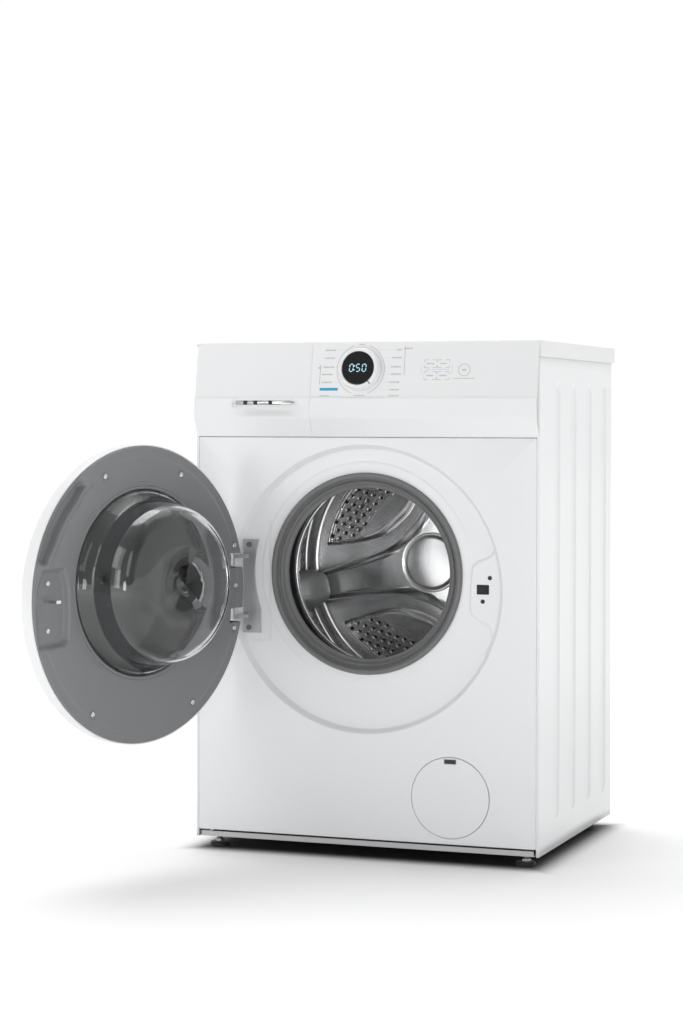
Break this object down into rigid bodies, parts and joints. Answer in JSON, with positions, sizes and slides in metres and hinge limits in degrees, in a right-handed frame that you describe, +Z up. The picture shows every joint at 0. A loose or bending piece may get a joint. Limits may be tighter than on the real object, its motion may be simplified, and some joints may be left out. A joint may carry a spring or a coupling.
{
  "type": "front load washing machine",
  "caption": "Freestanding front loading washing machine with an open round glass door, drawer, dial and a sprung tub with a belt driven drum.",
  "frame": {"origin": "on the floor, under the middle of the cabinet footprint (side panels)", "axes": "+X to the right seen from the front, front faces -Y, +Z up"},
  "size_m": [0.6943, 0.9595, 0.85],
  "materials": {
    "white_steel": "smooth white enamel on steel sheet",
    "rear_steel": "pale zinc and paint",
    "white_laminate": "white laminated board",
    "white_plastic": "satin white ABS",
    "zinc_steel": "zinc plated steel",
    "foot_rubber": "black rubber",
    "dark_display": "black glossy window",
    "board_green": "circuit board",
    "tub_plastic": "talc filled polypropylene",
    "tray_plastic": "moulded polypropylene",
    "cap_blue": "blue insert",
    "silver_trim": "satin silver trim",
    "valve_white": "white nylon",
    "black_plastic": "black nylon",
    "seal_rubber": "grey rubber",
    "hose_rubber": "black rubber",
    "spring_steel": "oiled spring wire",
    "damper_steel": "grey painted tube",
    "bright_steel": "ground steel",
    "hinge_grey": "grey painted steel",
    "concrete": "cast concrete",
    "stainless": "polished stainless sheet",
    "lifter_grey": "grey moulded plastic",
    "cast_aluminium": "as cast",
    "door_grey": "grey satin plastic",
    "smoked_window": "smoked outer window",
    "clear_glass": "pressed glass bowl"
  },
  "bodies": {
    "cabinet": {"side_panel_left": "white_steel", "side_panel_right": "white_steel", "rear_panel": "rear_steel", "rear_access_cover": "rear_steel", "front_panel": "white_steel", "worktop": "white_laminate", "base_plate": "zinc_steel", "foot_lock_nuts": "zinc_steel", "top_crossbar": "rear_steel", "control_fascia": "white_plastic", "display_window": "dark_display", "control_board": "board_green", "drawer_housing": "tub_plastic", "inlet_valve": "valve_white", "cord_gland": "black_plastic", "drain_spigot": "valve_white", "door_seal": "seal_rubber", "suspension_springs": "spring_steel", "damper_cylinders": "damper_steel", "pump_housing": "tub_plastic", "sump_hose": "hose_rubber", "door_lock": "black_plastic", "hinge_bracket": "hinge_grey", "hinge_pins": "zinc_steel", "panel_screws": "zinc_steel"},
    "foot_fl": {"foot_front_left": "foot_rubber"},
    "foot_fr": {"foot_front_right": "foot_rubber"},
    "foot_rl": {"foot_rear_left": "foot_rubber"},
    "foot_rr": {"foot_rear_right": "foot_rubber"},
    "knob": {"programme_knob": "white_plastic"},
    "drawer": {"detergent_drawer": "tray_plastic", "siphon_cap": "cap_blue", "drawer_front": "white_plastic", "handle_strip": "silver_trim"},
    "tub": {"tub_front": "tub_plastic", "tub_rear": "tub_plastic", "heater": "bright_steel", "counterweights": "concrete", "drum_bearings": "bright_steel", "motor_housing": "damper_steel", "drive_belt": "hose_rubber", "damper_rods": "bright_steel"},
    "drum": {"drum_shell": "stainless", "drum_back": "stainless", "drum_spider": "cast_aluminium", "drum_shaft": "bright_steel", "drum_lifters": "lifter_grey", "drum_pulley": "cast_aluminium", "pulley_bolt": "zinc_steel"},
    "rotor": {"motor_rotor": "bright_steel"},
    "filter": {"pump_filter": "tray_plastic"},
    "impeller": {"pump_impeller": "cap_blue"},
    "flap": {"service_flap": "white_steel"},
    "door": {"door_frame": "door_grey", "door_outer_shell": "white_plastic", "door_window": "smoked_window", "door_glass": "clear_glass", "hinge_arm": "hinge_grey", "door_screws": "zinc_steel"},
    "hook": {"door_hook": "zinc_steel"}
  },
  "joints": [
    {"name": "door_swing", "type": "hinge", "parent": "cabinet", "child": "door", "pos_m": [-0.227, -0.255, 0.443], "axis": [0, 0, 1], "range_deg": [-8, 110]},
    {"name": "hook_pivot", "type": "hinge", "parent": "door", "child": "hook", "pos_m": [-0.37065, -0.66138, 0.443], "axis": [0, 0, 1], "range_deg": [-6, 0], "stiffness_Nm_per_rad": 0.4},
    {"name": "drawer_slide", "type": "slide", "parent": "cabinet", "child": "drawer", "axis": [0, -1, 0], "range_m": [0, 0.24]},
    {"name": "knob_turn", "type": "hinge", "parent": "cabinet", "child": "knob", "pos_m": [-0.004, -0.23955, 0.804], "axis": [0, -0.9866, 0.1633], "continuous": true},
    {"name": "tub_bounce", "type": "slide", "parent": "cabinet", "child": "tub", "axis": [0, 0, 1], "range_m": [-0.008, 0.008], "stiffness_N_per_m": 9000, "springref_m": 0.03, "deforming": ["suspension_springs", "door_seal", "sump_hose"]},
    {"name": "drum_spin", "type": "hinge", "parent": "tub", "child": "drum", "pos_m": [0, 0, 0.468], "axis": [0, 1, 0], "continuous": true},
    {"name": "motor_spin", "type": "hinge", "parent": "tub", "child": "rotor", "pos_m": [-0.04, 0.1, 0.146], "axis": [0, 1, 0], "continuous": true},
    {"name": "flap_hinge", "type": "hinge", "parent": "cabinet", "child": "flap", "pos_m": [0.1497, -0.235, 0.0429], "axis": [1, 0, 0], "range_deg": [0, 85]},
    {"name": "filter_turn", "type": "hinge", "parent": "cabinet", "child": "filter", "pos_m": [0.1497, -0.185, 0.1015], "axis": [0, -1, 0], "continuous": true},
    {"name": "impeller_spin", "type": "hinge", "parent": "cabinet", "child": "impeller", "pos_m": [0.1497, -0.095, 0.1015], "axis": [0, 1, 0], "continuous": true},
    {"name": "foot_fl_turn", "type": "hinge", "parent": "cabinet", "child": "foot_fl", "pos_m": [-0.269, -0.203, 0.02], "axis": [0, 0, 1], "continuous": true},
    {"name": "foot_fr_turn", "type": "hinge", "parent": "cabinet", "child": "foot_fr", "pos_m": [0.269, -0.203, 0.02], "axis": [0, 0, 1], "continuous": true},
    {"name": "foot_rl_turn", "type": "hinge", "parent": "cabinet", "child": "foot_rl", "pos_m": [-0.269, 0.175, 0.02], "axis": [0, 0, 1], "continuous": true},
    {"name": "foot_rr_turn", "type": "hinge", "parent": "cabinet", "child": "foot_rr", "pos_m": [0.269, 0.175, 0.02], "axis": [0, 0, 1], "continuous": true}
  ],
  "couplings": [
    {"joint": "motor_spin", "follows": "drum_spin", "ratio": 12.62}
  ]
}
